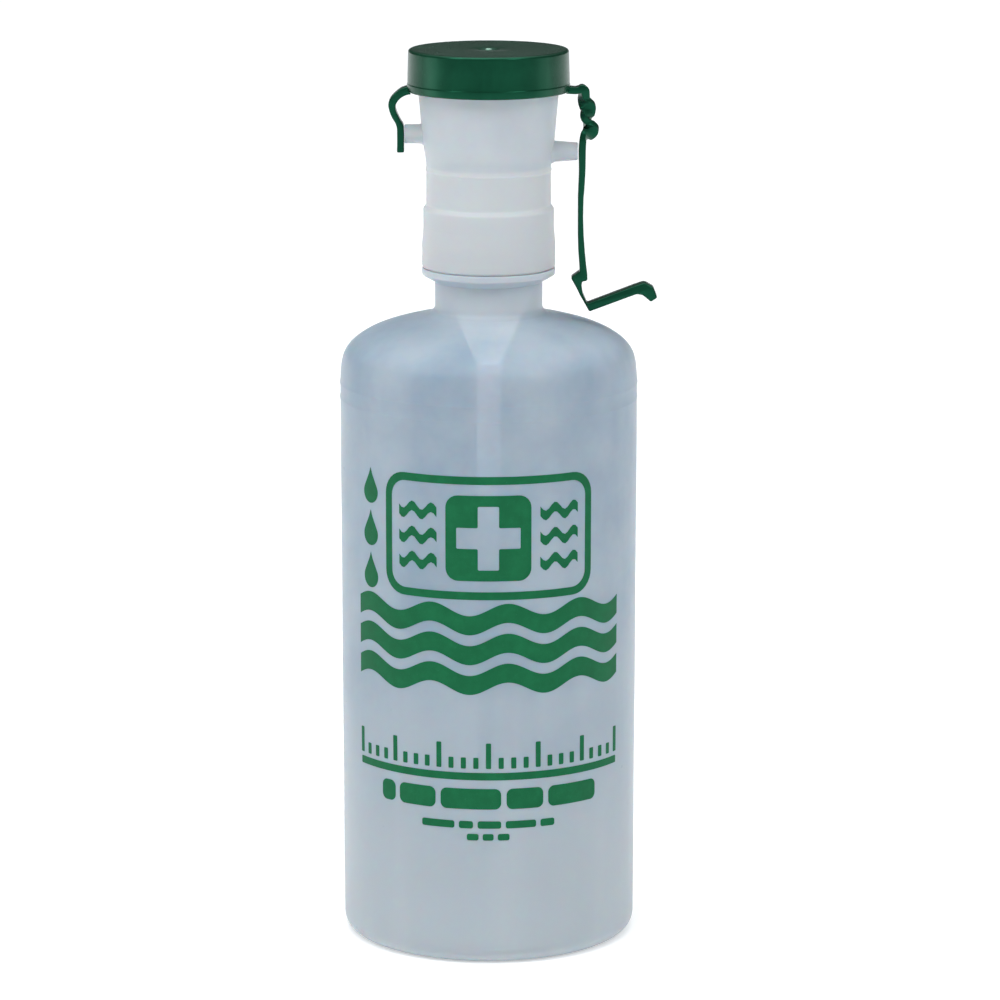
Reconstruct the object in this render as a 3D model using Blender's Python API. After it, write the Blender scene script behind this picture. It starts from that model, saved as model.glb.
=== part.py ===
"""Eyewash squeeze bottle: soft bottle, screw-on eye cup and strapped dust cap.

Metres, +Z up. The origin is the centre of the standing face, on the bottle's axis, and
+X points to the side on which the long strap hangs. Heights are above the standing face.
"""

import math

import bmesh
import bpy
from mathutils import Matrix, Vector

MM = 0.001
ROUND_STEPS = 48  # sides of the large turned pieces
TUBE_STEPS = 16  # sides of the thin tubes
ON_AXIS = 1e-6  # an outline point nearer to the axis than this is on it

# Bottle: a soft blow-moulded body with a 28 mm screw neck
BASE_RADIUS = 35.3 * MM
BASE_CORNER = 4.5 * MM
BODY_WALL = 1.1 * MM
SHOULDER = (  # (radius, height) in mm
    (35.6, 134.0),
    (35.5, 137.3),
    (35.25, 139.6),
    (34.6, 141.85),
    (33.3, 143.75),
    (31.3, 145.45),
    (28.5, 147.05),
    (25.0, 148.4),
    (20.5, 149.65),
    (16.0, 150.65),
)
NECK_FOOT_HEIGHT = 151.2 * MM
NECK_RADIUS = 12.8 * MM
NECK_BORE = 10.9 * MM
BEAD_RADIUS = 15.85 * MM
BEAD_UNDER_HEIGHT = 159.0 * MM
BEAD_EDGE_HEIGHT = 160.8 * MM
BEAD_TOP_HEIGHT = 162.3 * MM
FINISH_RADIUS = 12.55 * MM  # the wall between the threads
RIM_HEIGHT = 173.0 * MM

# Screw thread of the neck and of the eye cup's skirt
PITCH = 4.233 * MM
NECK_THREAD_CREST = 13.6 * MM
NECK_THREAD_START = 165.1 * MM
SKIRT_THREAD_CREST = 12.95 * MM
SKIRT_THREAD_START = 164.1 * MM
SKIRT_BELOW_NECK = 1.7 * MM  # screwed tight, its thread bears up under the neck's
THREAD_TURNS = 1.2
THREAD_STEPS = 36  # per turn
THREAD_FADE = 0.12  # of a turn, at each end
THREAD_ROOT_DEPTH = 0.6 * MM  # how far a thread is sunk into its wall

# Eye cup: skirt, straight band, flared cup and two drain tubes in one moulding
SKIRT_FOOT_HEIGHT = 162.7 * MM
SKIRT_RADIUS = 15.85 * MM
SKIRT_SWELL_HEIGHT = 167.4 * MM
SKIRT_TOP_RADIUS = 15.5 * MM
SKIRT_TOP_HEIGHT = 175.9 * MM
SKIRT_INNER = 14.0 * MM
SHELF_HEIGHT = 176.1 * MM
BAND_RADIUS = 14.8 * MM
BAND_INNER = 13.3 * MM
BAND_TOP_HEIGHT = 187.2 * MM
CUP_FLARE = (  # (radius, height) in mm
    (14.93, 188.6),
    (15.25, 190.4),
    (15.63, 192.6),
    (15.95, 196.4),
    (16.5, 202.8),
    (17.2, 210.6),
)
CUP_WALL = 1.25 * MM
CUP_RIM_HEIGHT = 212.0 * MM
DRAIN_LEFT_HEIGHT = 194.05 * MM
DRAIN_LEFT_RADIUS = 2.25 * MM
DRAIN_LEFT_TIP = -19.65 * MM
DRAIN_RIGHT_HEIGHT = 189.9 * MM
DRAIN_RIGHT_ROOT_RADIUS = 2.45 * MM
DRAIN_RIGHT_TIP_RADIUS = 2.05 * MM
DRAIN_RIGHT_TIP = 21.0 * MM
DRAIN_BORE = 1.35 * MM

# Nozzle insert, its spray disc, the neck gasket and the dip tube
INSERT_TOP_HEIGHT = 185.8 * MM
INSERT_RADIUS = 13.0 * MM
INSERT_SEAT_HEIGHT = 182.9 * MM
INSERT_SEAT_RADIUS = 11.9 * MM
INSERT_BORE = 11.0 * MM
FLANGE_RADIUS = 13.7 * MM
FLANGE_TOP_HEIGHT = 175.8 * MM
FLANGE_FOOT_HEIGHT = 174.6 * MM
PLUG_RADIUS = 10.5 * MM
PLUG_WALL = 1.1 * MM
FUNNEL_TOP_HEIGHT = 157.0 * MM
FUNNEL_FOOT_HEIGHT = 139.5 * MM
FUNNEL_FOOT_RADIUS = 3.2 * MM
STEM_RADIUS = 1.95 * MM
STEM_BORE = 1.1 * MM
STEM_FOOT_HEIGHT = 129.0 * MM
DISC_RADIUS = 11.6 * MM
DISC_FOOT_HEIGHT = 183.2 * MM
DISC_THICKNESS = 1.4 * MM
DISC_HOLE_RADIUS = 0.6 * MM
DISC_HOLE_RINGS = ((0.0, 1), (3.3 * MM, 6), (6.4 * MM, 12), (9.2 * MM, 16))
GASKET_HEIGHT = 173.3 * MM
GASKET_THICKNESS = 1.0 * MM
GASKET_RADIUS = 13.3 * MM
GASKET_BORE = 11.0 * MM
TUBE_RADIUS = 2.9 * MM
TUBE_BORE = 2.25 * MM
TUBE_TOP_HEIGHT = 139.2 * MM
TUBE_FOOT_HEIGHT = 5.0 * MM

# Dust cap, with a lug on each side where its arms bend
CAP_RADIUS = 19.05 * MM
CAP_RIM_RADIUS = 19.32 * MM
CAP_INNER = 17.7 * MM
CAP_FOOT_HEIGHT = 204.3 * MM
CAP_RIM_TOP_HEIGHT = 206.2 * MM
CAP_TOP_HEIGHT = 214.2 * MM
CAP_CEILING_HEIGHT = 212.8 * MM
CAP_PLUG_RADIUS = 15.3 * MM
CAP_PLUG_INNER = 14.4 * MM
CAP_PLUG_HEIGHT = 208.9 * MM
LUG_HEIGHTS = (203.55 * MM, 205.45 * MM)
LUG_REACH = (18.4 * MM, 19.9 * MM)

# Arms: each is a run of (x, z, half thickness) stations, all as wide as the strap
STRAP_WIDTH = 4.4 * MM
DRAIN_COVER_RUN = (
    (-20.2, 204.5, 0.90),
    (-21.4, 204.3, 0.90),
    (-22.4, 203.3, 0.88),
    (-22.87, 201.9, 0.85),
    (-22.7, 200.3, 0.85),
    (-21.9, 198.7, 0.85),
    (-21.05, 197.4, 0.86),
    (-20.85, 196.3, 0.87),
    (-20.85, 189.8, 0.87),
)
KNUCKLE_RUN = (
    (20.2, 204.6, 0.90),
    (21.5, 204.7, 1.00),
    (22.3, 204.0, 1.05),
    (22.7, 202.3, 0.90),
    (23.2, 200.6, 1.35),
    (23.25, 199.2, 1.45),
    (23.3, 197.6, 1.35),
    (24.0, 196.0, 1.30),
    (23.6, 194.8, 1.35),
    (22.65, 193.9, 0.80),
)
STRAP_RUN = (
    (22.42, 193.3, 0.76),
    (22.36, 189.5, 0.76),
    (22.3, 185.4, 0.76),
    (22.02, 181.5, 0.74),
    (21.82, 178.3, 0.67),
    (21.77, 174.5, 0.63),
    (21.85, 170.2, 0.69),
    (22.06, 166.3, 0.78),
    (22.4, 162.7, 0.80),
    (22.45, 161.75, 0.80),
)
FOOT_RUN = (
    (23.4, 160.1, 1.10),
    (22.0, 160.1, 1.10),
    (21.0, 160.2, 0.95),
    (20.35, 159.7, 0.75),
    (20.9, 158.4, 0.72),
    (21.45, 157.2, 0.46),
    (21.9, 156.0, 0.34),
    (22.45, 154.7, 0.32),
    (23.0, 153.55, 0.34),
)
PULL_TAB_RUN = (
    (23.75, 152.6, 0.85),
    (27.5, 154.1, 0.95),
    (31.3, 155.6, 1.08),
    (34.6, 156.85, 1.20),
    (36.4, 157.2, 1.35),
    (37.8, 156.6, 1.45),
    (39.5, 154.9, 1.05),
)
LUG_HINGE = (20.05 * MM, 205.45 * MM)  # distance from the axis, and height
STRAP_HINGE = (23.2 * MM, 193.55 * MM)
FOOT_HINGE = (23.1 * MM, 161.5 * MM)
TAB_HINGE = (23.0 * MM, 153.3 * MM)

COLOURS = {  # colour, roughness
    "soft_bottle": ((0.62, 0.68, 0.73), 0.42),
    "cup_plastic": ((0.80, 0.84, 0.87), 0.35),
    "white_insert": ((0.86, 0.88, 0.88), 0.40),
    "tube_plastic": ((0.78, 0.84, 0.88), 0.30),
    "gasket_foam": ((0.85, 0.85, 0.82), 0.75),
    "green_plastic": ((0.015, 0.17, 0.075), 0.38),
}


def material(name):
    """A Principled material in the piece's colour."""
    found = bpy.data.materials.get(name)
    if found:
        return found
    colour, roughness = COLOURS[name]
    made = bpy.data.materials.new(name)
    made.use_nodes = True
    shader = made.node_tree.nodes["Principled BSDF"]
    shader.inputs["Base Color"].default_value = (*colour, 1.0)
    shader.inputs["Roughness"].default_value = roughness
    shader.inputs["Metallic"].default_value = 0.0
    return made


def axis_empty(name, place, parent=None):
    """An empty on a joint's axis, for moving pieces to hang on."""
    empty = bpy.data.objects.new(name, None)
    empty.empty_display_size = 5 * MM
    return placed(empty, place, parent)


def placed(obj, place, parent=None):
    """Links an object and puts its origin at a world place, under an unturned parent."""
    bpy.context.scene.collection.objects.link(obj)
    obj.parent = parent
    start = world_place(parent) if parent else Vector()
    obj.location = Vector(place) - start
    return obj


def world_place(obj):
    """Where an object that is neither turned nor scaled has its origin."""
    above = world_place(obj.parent) if obj.parent else Vector()
    return above + obj.location


def piece(name, bm, finish, place, parent=None):
    """Makes a named object of a mesh drawn in world coordinates, with its origin at place."""
    bmesh.ops.recalc_face_normals(bm, faces=bm.faces)
    bmesh.ops.translate(bm, verts=bm.verts, vec=-Vector(place))
    mesh = bpy.data.meshes.new(name)
    bm.to_mesh(mesh)
    bm.free()
    mesh.shade_smooth()
    mesh.set_sharp_from_angle(angle=math.radians(35))
    if finish:
        mesh.materials.append(material(finish))
    return placed(bpy.data.objects.new(name, mesh), place, parent)


def tool(name, bm):
    """A hidden shape that a Boolean adds or cuts."""
    shape = piece(name, bm, None, (0, 0, 0))
    shape.hide_render = True
    shape.display_type = "WIRE"
    return shape


def combine(obj, shape, operation):
    """Adds a Boolean of an object and a hidden shape."""
    modifier = obj.modifiers.new(shape.name, "BOOLEAN")
    modifier.object = shape
    modifier.operation = operation
    modifier.solver = "EXACT"


def skin(bm, rings, closed):
    """Joins rings of vertices, in order. A ring of one vertex is a point."""
    follow = rings[1:] + rings[:1] if closed else rings[1:]
    for here, there in zip(rings, follow):
        count = max(len(here), len(there))
        if count == 1:
            continue
        for i in range(count):
            j = (i + 1) % count
            corners = [here[i % len(here)], here[j % len(here)]]
            corners += [there[j % len(there)], there[i % len(there)]]
            bm.faces.new(list(dict.fromkeys(corners)))


def turned(outline, steps=ROUND_STEPS):
    """A closed outline of (radius, height) turned about Z."""
    bm = bmesh.new()
    rings = []
    for radius, height in outline:
        if radius < ON_AXIS:
            rings.append([bm.verts.new((0, 0, height))])
            continue
        turns = [2 * math.pi * i / steps for i in range(steps)]
        rings.append([bm.verts.new((radius * math.cos(a), radius * math.sin(a), height)) for a in turns])
    skin(bm, rings, closed=True)
    return bm


def arc(centre, radius, start, end, steps):
    """Points on an arc about centre, from start to end, both included."""
    span = [start + (end - start) * i / steps for i in range(steps + 1)]
    return [(centre[0] + radius * math.cos(a), centre[1] + radius * math.sin(a)) for a in span]


def inset(run, depth):
    """A run of (radius, height) points moved to its left by depth."""
    moved = []
    for i, here in enumerate(run):
        before = Vector(run[max(i - 1, 0)])
        after = Vector(run[min(i + 1, len(run) - 1)])
        along = (after - before).normalized()
        moved.append((here[0] - along.y * depth, here[1] + along.x * depth))
    return moved


def thread(name, wall, crest, start_height, start_turn, root_width, crest_width):
    """A right-hand ridge on a wall; its crest is outside a neck's wall and inside a skirt's."""
    bm = bmesh.new()
    rings = []
    steps = round(THREAD_TURNS * THREAD_STEPS)
    sunk = wall - math.copysign(THREAD_ROOT_DEPTH, crest - wall)
    for i in range(steps + 1):
        turn = i / THREAD_STEPS
        to_end = min(turn, THREAD_TURNS - turn)
        rise = max(0.08, min(1.0, to_end / THREAD_FADE))
        tip = wall + (crest - wall) * rise
        angle = 2 * math.pi * (start_turn + turn)
        height = start_height + PITCH * turn
        section = ((sunk, -root_width), (tip, -crest_width), (tip, crest_width), (sunk, root_width))
        ring = []
        for radius, across in section:
            spot = (radius * math.cos(angle), radius * math.sin(angle), height + across / 2)
            ring.append(bm.verts.new(spot))
        rings.append(ring)
    skin(bm, rings, closed=False)
    bm.faces.new(rings[0])
    bm.faces.new(rings[-1])
    return tool(name, bm)


def side_cylinder(bm, x_start, x_end, height, radius_start, radius_end, steps=TUBE_STEPS):
    """A closed cylinder or cone along X."""
    rings = []
    for x, radius in ((x_start, radius_start), (x_end, radius_end)):
        ring = []
        for i in range(steps):
            angle = 2 * math.pi * i / steps
            ring.append(bm.verts.new((x, radius * math.cos(angle), height + radius * math.sin(angle))))
        rings.append(ring)
    skin(bm, rings, closed=False)
    bm.faces.new(rings[0])
    bm.faces.new(rings[1])


def box(bm, low, high):
    """A closed box between two corners."""
    size = Vector(high) - Vector(low)
    centre = (Vector(high) + Vector(low)) / 2
    bmesh.ops.create_cube(bm, size=1.0, matrix=Matrix.Translation(centre) @ Matrix.Diagonal((*size, 1.0)))


def ribbon(stations):
    """A flat ribbon as wide as the strap, along (x, z, half thickness) stations in mm."""
    bm = bmesh.new()
    rings = []
    last = len(stations) - 1
    for i, (x, z, half) in enumerate(stations):
        before = Vector(stations[max(i - 1, 0)][:2])
        after = Vector(stations[min(i + 1, last)][:2])
        along = (after - before).normalized()
        across = Vector((-along.y, along.x)) * half
        ring = []
        for side, reach in ((1, -1), (1, 1), (-1, 1), (-1, -1)):
            spot = Vector((x, z)) + side * across
            ring.append(bm.verts.new((spot.x * MM, reach * STRAP_WIDTH / 2, spot.y * MM)))
        rings.append(ring)
    skin(bm, rings, closed=False)
    bm.faces.new(rings[0])
    bm.faces.new(rings[-1])
    return bm


def bottle_outline():
    """The bottle's wall, outside then inside, from the middle of its standing face."""
    flat = BASE_RADIUS - BASE_CORNER
    shoulder = [(radius * MM, height * MM) for radius, height in SHOULDER]
    outside = [(0, 0)]
    outside += arc((flat, BASE_CORNER), BASE_CORNER, -math.pi / 2, 0, 5)
    outside += shoulder
    outside += [
        (NECK_RADIUS + 1.3 * MM, NECK_FOOT_HEIGHT),
        (NECK_RADIUS + 0.3 * MM, NECK_FOOT_HEIGHT + 0.5 * MM),
        (NECK_RADIUS, NECK_FOOT_HEIGHT + 1.4 * MM),
        (NECK_RADIUS, BEAD_UNDER_HEIGHT),
        (BEAD_RADIUS, BEAD_EDGE_HEIGHT),
        (BEAD_RADIUS, BEAD_TOP_HEIGHT - 0.3 * MM),
        (BEAD_RADIUS - 0.3 * MM, BEAD_TOP_HEIGHT),
        (FINISH_RADIUS, BEAD_TOP_HEIGHT),
        (FINISH_RADIUS, RIM_HEIGHT - 0.3 * MM),
        (FINISH_RADIUS - 0.3 * MM, RIM_HEIGHT),
    ]
    inside = [
        (NECK_BORE + 0.3 * MM, RIM_HEIGHT),
        (NECK_BORE, RIM_HEIGHT - 0.3 * MM),
        (NECK_BORE, NECK_FOOT_HEIGHT + 1.0 * MM),
        (NECK_BORE + 0.8 * MM, NECK_FOOT_HEIGHT - 0.5 * MM),
    ]
    inside += reversed(inset(shoulder, BODY_WALL))
    inside += arc((flat, BASE_CORNER), BASE_CORNER - BODY_WALL, 0, -math.pi / 2, 3)
    inside += [(0, BODY_WALL)]
    return outside + inside


def make_bottle():
    bottle = piece("bottle", turned(bottle_outline()), "soft_bottle", (0, 0, 0))
    ridge = thread(
        "neck_thread", FINISH_RADIUS, NECK_THREAD_CREST, NECK_THREAD_START, 0, 2.2 * MM, 1.1 * MM
    )
    combine(bottle, ridge, "UNION")


def cup_outline():
    """The eye cup's outside from the skirt's foot to the rim, then its inside back down."""
    flare = [(radius * MM, height * MM) for radius, height in CUP_FLARE]
    rim_radius = flare[-1][0]
    outside = [
        (SKIRT_INNER + 0.3 * MM, SKIRT_FOOT_HEIGHT),
        (SKIRT_RADIUS - 0.5 * MM, SKIRT_FOOT_HEIGHT),
        (SKIRT_RADIUS - 0.1 * MM, SKIRT_FOOT_HEIGHT + 0.5 * MM),
        (SKIRT_RADIUS, SKIRT_FOOT_HEIGHT + 1.3 * MM),
        (SKIRT_RADIUS, SKIRT_SWELL_HEIGHT),
        (SKIRT_TOP_RADIUS + 0.1 * MM, SKIRT_TOP_HEIGHT - 4.0 * MM),
        (SKIRT_TOP_RADIUS, SKIRT_TOP_HEIGHT),
        (SKIRT_TOP_RADIUS - 0.15 * MM, SKIRT_TOP_HEIGHT + 0.8 * MM),
        (BAND_RADIUS + 0.3 * MM, SKIRT_TOP_HEIGHT + 1.4 * MM),
        (BAND_RADIUS, SKIRT_TOP_HEIGHT + 1.6 * MM),
        (BAND_RADIUS, BAND_TOP_HEIGHT),
        *flare,
        (rim_radius - 0.05 * MM, CUP_RIM_HEIGHT - 0.4 * MM),
        (rim_radius - 0.5 * MM, CUP_RIM_HEIGHT),
    ]
    inside = [(rim_radius - 0.8 * MM, CUP_RIM_HEIGHT)]
    inside += [(radius - CUP_WALL, height) for radius, height in reversed(flare)]
    inside += [
        (BAND_INNER, BAND_TOP_HEIGHT),
        (BAND_INNER, SHELF_HEIGHT),
        (SKIRT_INNER, SHELF_HEIGHT),
        (SKIRT_INNER, SKIRT_FOOT_HEIGHT + 0.4 * MM),
    ]
    return outside + inside


def make_eye_cup(parent):
    cup = piece("eye_cup", turned(cup_outline()), "cup_plastic", (0, 0, RIM_HEIGHT), parent)
    start_turn = (SKIRT_THREAD_START - NECK_THREAD_START + SKIRT_BELOW_NECK) / PITCH
    ridge = thread(
        "skirt_thread",
        SKIRT_INNER,
        SKIRT_THREAD_CREST,
        SKIRT_THREAD_START,
        start_turn,
        1.9 * MM,
        0.8 * MM,
    )
    combine(cup, ridge, "UNION")

    tubes = bmesh.new()
    side_cylinder(
        tubes, -15.0 * MM, DRAIN_LEFT_TIP, DRAIN_LEFT_HEIGHT, DRAIN_LEFT_RADIUS, DRAIN_LEFT_RADIUS
    )
    side_cylinder(
        tubes,
        14.35 * MM,
        DRAIN_RIGHT_TIP,
        DRAIN_RIGHT_HEIGHT,
        DRAIN_RIGHT_ROOT_RADIUS,
        DRAIN_RIGHT_TIP_RADIUS,
    )
    combine(cup, tool("drain_tubes", tubes), "UNION")

    bores = bmesh.new()
    side_cylinder(bores, -12.5 * MM, -21.0 * MM, DRAIN_LEFT_HEIGHT, DRAIN_BORE, DRAIN_BORE)
    side_cylinder(bores, 12.2 * MM, 23.0 * MM, DRAIN_RIGHT_HEIGHT, DRAIN_BORE, DRAIN_BORE)
    combine(cup, tool("drain_bores", bores), "DIFFERENCE")


def make_insert(parent):
    """The white nozzle: a sleeve in the band, a flange on the gasket, a plug and a funnel."""
    outline = [
        (INSERT_SEAT_RADIUS, INSERT_TOP_HEIGHT),
        (INSERT_SEAT_RADIUS, INSERT_SEAT_HEIGHT),
        (INSERT_BORE, INSERT_SEAT_HEIGHT),
        (INSERT_BORE, FLANGE_TOP_HEIGHT),
        (PLUG_RADIUS - PLUG_WALL, FLANGE_FOOT_HEIGHT),
        (PLUG_RADIUS - PLUG_WALL, FUNNEL_TOP_HEIGHT + 0.3 * MM),
        (FUNNEL_FOOT_RADIUS - 1.2 * MM, FUNNEL_FOOT_HEIGHT + 1.5 * MM),
        (STEM_BORE, FUNNEL_FOOT_HEIGHT),
        (STEM_BORE, STEM_FOOT_HEIGHT),
        (STEM_RADIUS - 0.3 * MM, STEM_FOOT_HEIGHT),
        (STEM_RADIUS, STEM_FOOT_HEIGHT + 1.0 * MM),
        (STEM_RADIUS, FUNNEL_FOOT_HEIGHT),
        (FUNNEL_FOOT_RADIUS, FUNNEL_FOOT_HEIGHT),
        (PLUG_RADIUS, FUNNEL_TOP_HEIGHT),
        (PLUG_RADIUS, FLANGE_FOOT_HEIGHT),
        (FLANGE_RADIUS, FLANGE_FOOT_HEIGHT),
        (FLANGE_RADIUS, FLANGE_TOP_HEIGHT),
        (INSERT_RADIUS, FLANGE_TOP_HEIGHT),
        (INSERT_RADIUS, INSERT_TOP_HEIGHT - 0.4 * MM),
        (INSERT_RADIUS - 0.4 * MM, INSERT_TOP_HEIGHT),
    ]
    piece("nozzle_insert", turned(outline, 40), "white_insert", (0, 0, RIM_HEIGHT), parent)


def make_spray_disc(parent):
    outline = [
        (0, DISC_FOOT_HEIGHT),
        (DISC_RADIUS, DISC_FOOT_HEIGHT),
        (DISC_RADIUS, DISC_FOOT_HEIGHT + DISC_THICKNESS - 0.3 * MM),
        (DISC_RADIUS - 0.3 * MM, DISC_FOOT_HEIGHT + DISC_THICKNESS),
        (0, DISC_FOOT_HEIGHT + DISC_THICKNESS),
    ]
    disc = piece("spray_disc", turned(outline, 40), "white_insert", (0, 0, DISC_FOOT_HEIGHT), parent)
    holes = bmesh.new()
    for ring_radius, count in DISC_HOLE_RINGS:
        for i in range(count):
            angle = 2 * math.pi * (i + 0.5) / count
            spot = (ring_radius * math.cos(angle), ring_radius * math.sin(angle))
            bmesh.ops.create_cone(
                holes,
                cap_ends=True,
                segments=8,
                radius1=DISC_HOLE_RADIUS,
                radius2=DISC_HOLE_RADIUS,
                depth=3 * DISC_THICKNESS,
                matrix=Matrix.Translation((*spot, DISC_FOOT_HEIGHT + DISC_THICKNESS / 2)),
            )
    combine(disc, tool("spray_holes", holes), "DIFFERENCE")


def ring_piece(name, inner, outer, foot, height, finish, steps, parent):
    """A plain ring or tube."""
    outline = [(inner, foot), (outer, foot), (outer, foot + height), (inner, foot + height)]
    piece(name, turned(outline, steps), finish, (0, 0, foot), parent)


def make_dust_cap(parent):
    """The cap, with a gate dimple on top and a ring below that plugs the cup's mouth."""
    outline = [
        (0, CAP_TOP_HEIGHT + 0.1 * MM),
        (0.5 * MM, CAP_TOP_HEIGHT + 0.05 * MM),
        (0.7 * MM, CAP_TOP_HEIGHT - 0.45 * MM),
        (1.5 * MM, CAP_TOP_HEIGHT - 0.45 * MM),
        (2.1 * MM, CAP_TOP_HEIGHT),
        (CAP_RADIUS - 0.6 * MM, CAP_TOP_HEIGHT),
        (CAP_RADIUS - 0.15 * MM, CAP_TOP_HEIGHT - 0.2 * MM),
        (CAP_RADIUS, CAP_TOP_HEIGHT - 0.7 * MM),
        (CAP_RADIUS + 0.15 * MM, CAP_RIM_TOP_HEIGHT),
        (CAP_RIM_RADIUS, CAP_RIM_TOP_HEIGHT - 0.3 * MM),
        (CAP_RIM_RADIUS, CAP_FOOT_HEIGHT + 0.3 * MM),
        (CAP_RIM_RADIUS - 0.2 * MM, CAP_FOOT_HEIGHT),
        (CAP_INNER + 0.2 * MM, CAP_FOOT_HEIGHT),
        (CAP_INNER, CAP_FOOT_HEIGHT + 0.3 * MM),
        (CAP_INNER, CAP_CEILING_HEIGHT),
        (CAP_PLUG_RADIUS, CAP_CEILING_HEIGHT),
        (CAP_PLUG_RADIUS, CAP_PLUG_HEIGHT + 0.4 * MM),
        (CAP_PLUG_RADIUS - 0.3 * MM, CAP_PLUG_HEIGHT),
        (CAP_PLUG_INNER, CAP_PLUG_HEIGHT),
        (CAP_PLUG_INNER, CAP_CEILING_HEIGHT),
        (0, CAP_CEILING_HEIGHT),
    ]
    cap = piece("dust_cap", turned(outline), "green_plastic", (0, 0, CAP_FOOT_HEIGHT), parent)
    lugs = bmesh.new()
    for side in (-1, 1):
        ends = sorted(side * reach for reach in LUG_REACH)
        box(lugs, (ends[0], -STRAP_WIDTH / 2, LUG_HEIGHTS[0]), (ends[1], STRAP_WIDTH / 2, LUG_HEIGHTS[1]))
    combine(cap, tool("cap_lugs", lugs), "UNION")


def make_arms(cap_axis):
    """The drain cover on -X and the long strap on +X, each part hung on its own bend."""
    cover_axis = axis_empty("drain_cover_axis", (-LUG_HINGE[0], 0, LUG_HINGE[1]), cap_axis)
    piece(
        "drain_cover_arm", ribbon(DRAIN_COVER_RUN), "green_plastic", world_place(cover_axis), cover_axis
    )
    chain = (
        ("strap_knuckle", KNUCKLE_RUN, LUG_HINGE),
        ("long_strap", STRAP_RUN, STRAP_HINGE),
        ("strap_foot", FOOT_RUN, FOOT_HINGE),
        ("pull_tab", PULL_TAB_RUN, TAB_HINGE),
    )
    above = cap_axis
    for name, run, (x, z) in chain:
        above = axis_empty(name + "_axis", (x, 0, z), above)
        piece(name, ribbon(run), "green_plastic", (x, 0, z), above)


def main():
    for obj in list(bpy.data.objects):
        bpy.data.objects.remove(obj)
    make_bottle()

    neck_axis = axis_empty("neck_axis", (0, 0, RIM_HEIGHT))
    make_insert(neck_axis)
    make_spray_disc(neck_axis)
    ring_piece(
        "neck_gasket",
        GASKET_BORE,
        GASKET_RADIUS,
        GASKET_HEIGHT,
        GASKET_THICKNESS,
        "gasket_foam",
        40,
        neck_axis,
    )
    ring_piece(
        "dip_tube",
        TUBE_BORE,
        TUBE_RADIUS,
        TUBE_FOOT_HEIGHT,
        TUBE_TOP_HEIGHT - TUBE_FOOT_HEIGHT,
        "tube_plastic",
        TUBE_STEPS,
        neck_axis,
    )

    turn_axis = axis_empty("turn_axis", (0, 0, RIM_HEIGHT), neck_axis)
    make_eye_cup(turn_axis)

    cap_axis = axis_empty("cap_axis", (0, 0, CAP_FOOT_HEIGHT), turn_axis)
    make_dust_cap(cap_axis)
    make_arms(cap_axis)


main()
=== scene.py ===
"""The looks of an eyewash squeeze bottle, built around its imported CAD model.

Metres, +Z up, in the CAD model's frame. Outlines are drawn in millimetres and scaled by MM.
The front, where the print is, faces -Y, and the long strap hangs on +X.
"""

import math

import bmesh
import bpy
from mathutils import Matrix, Vector, noise


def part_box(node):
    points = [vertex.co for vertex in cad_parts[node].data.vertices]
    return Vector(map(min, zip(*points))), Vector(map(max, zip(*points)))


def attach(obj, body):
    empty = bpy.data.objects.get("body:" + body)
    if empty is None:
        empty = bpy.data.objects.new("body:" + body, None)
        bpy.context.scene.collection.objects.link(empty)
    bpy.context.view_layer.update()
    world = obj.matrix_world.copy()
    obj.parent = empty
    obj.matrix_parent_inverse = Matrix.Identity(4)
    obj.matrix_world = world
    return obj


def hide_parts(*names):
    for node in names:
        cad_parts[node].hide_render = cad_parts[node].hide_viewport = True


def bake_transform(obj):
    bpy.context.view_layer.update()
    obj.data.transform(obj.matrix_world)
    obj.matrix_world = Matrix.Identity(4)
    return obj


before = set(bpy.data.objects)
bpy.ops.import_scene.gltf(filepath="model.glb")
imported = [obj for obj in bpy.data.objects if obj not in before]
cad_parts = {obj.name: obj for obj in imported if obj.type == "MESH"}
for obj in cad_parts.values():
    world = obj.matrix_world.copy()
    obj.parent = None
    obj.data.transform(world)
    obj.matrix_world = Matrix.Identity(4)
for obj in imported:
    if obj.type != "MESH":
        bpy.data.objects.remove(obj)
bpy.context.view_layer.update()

MM = 0.001
TURN = 2 * math.pi
ROUND_STEPS = 144  # columns of a large turned piece
SMALL_STEPS = 96  # columns of a smaller one
FILLET_STEP = math.radians(12)
LONGEST_SIDE = 4.0  # mm; an outline's sides are split to be no longer
ON_AXIS = 1e-4  # mm; an outline point nearer to the axis than this is on it
SHARP = 38  # degrees between faces that still shade smoothly
STRIP_SHARP = 50

# Camera and lights
EYE = (2.7, -1100.0, 335.6)  # mm
LOOK_AT = (2.7, 0.0, 105.56)  # mm
SENSOR = 36.0  # mm
LENS = 168.3  # mm of focal length
FLOOR_RADIUS = 80.0  # m
SKY = (  # height on a dome of radius 1, brightness
    (0.0, 0.62),
    (0.05, 0.48),
    (0.09, 0.03),
    (0.50, 0.10),
    (0.75, 0.65),
    (0.90, 1.85),
    (1.0, 3.40),
)
SKY_TINT = (0.95, 0.975, 1.0)
LAMPS = (  # name, place, width and height in m, power in W
    ("left_softbox", (-0.82, -0.62, 0.97), 0.35, 0.45, 3.9),
    ("right_softbox", (0.70, -0.75, 0.97), 0.35, 0.45, 4.4),
    ("top_softbox", (-0.35, -0.55, 1.3), 0.8, 0.5, 4.0),
    ("left_strip", (-0.95, -0.05, 0.13), 0.4, 0.35, 0.62),
    ("right_strip", (0.95, -0.05, 0.13), 0.4, 0.35, 0.32),
)
LAMP_AIM = (0.0, 0.0, 0.15)  # m

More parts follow.
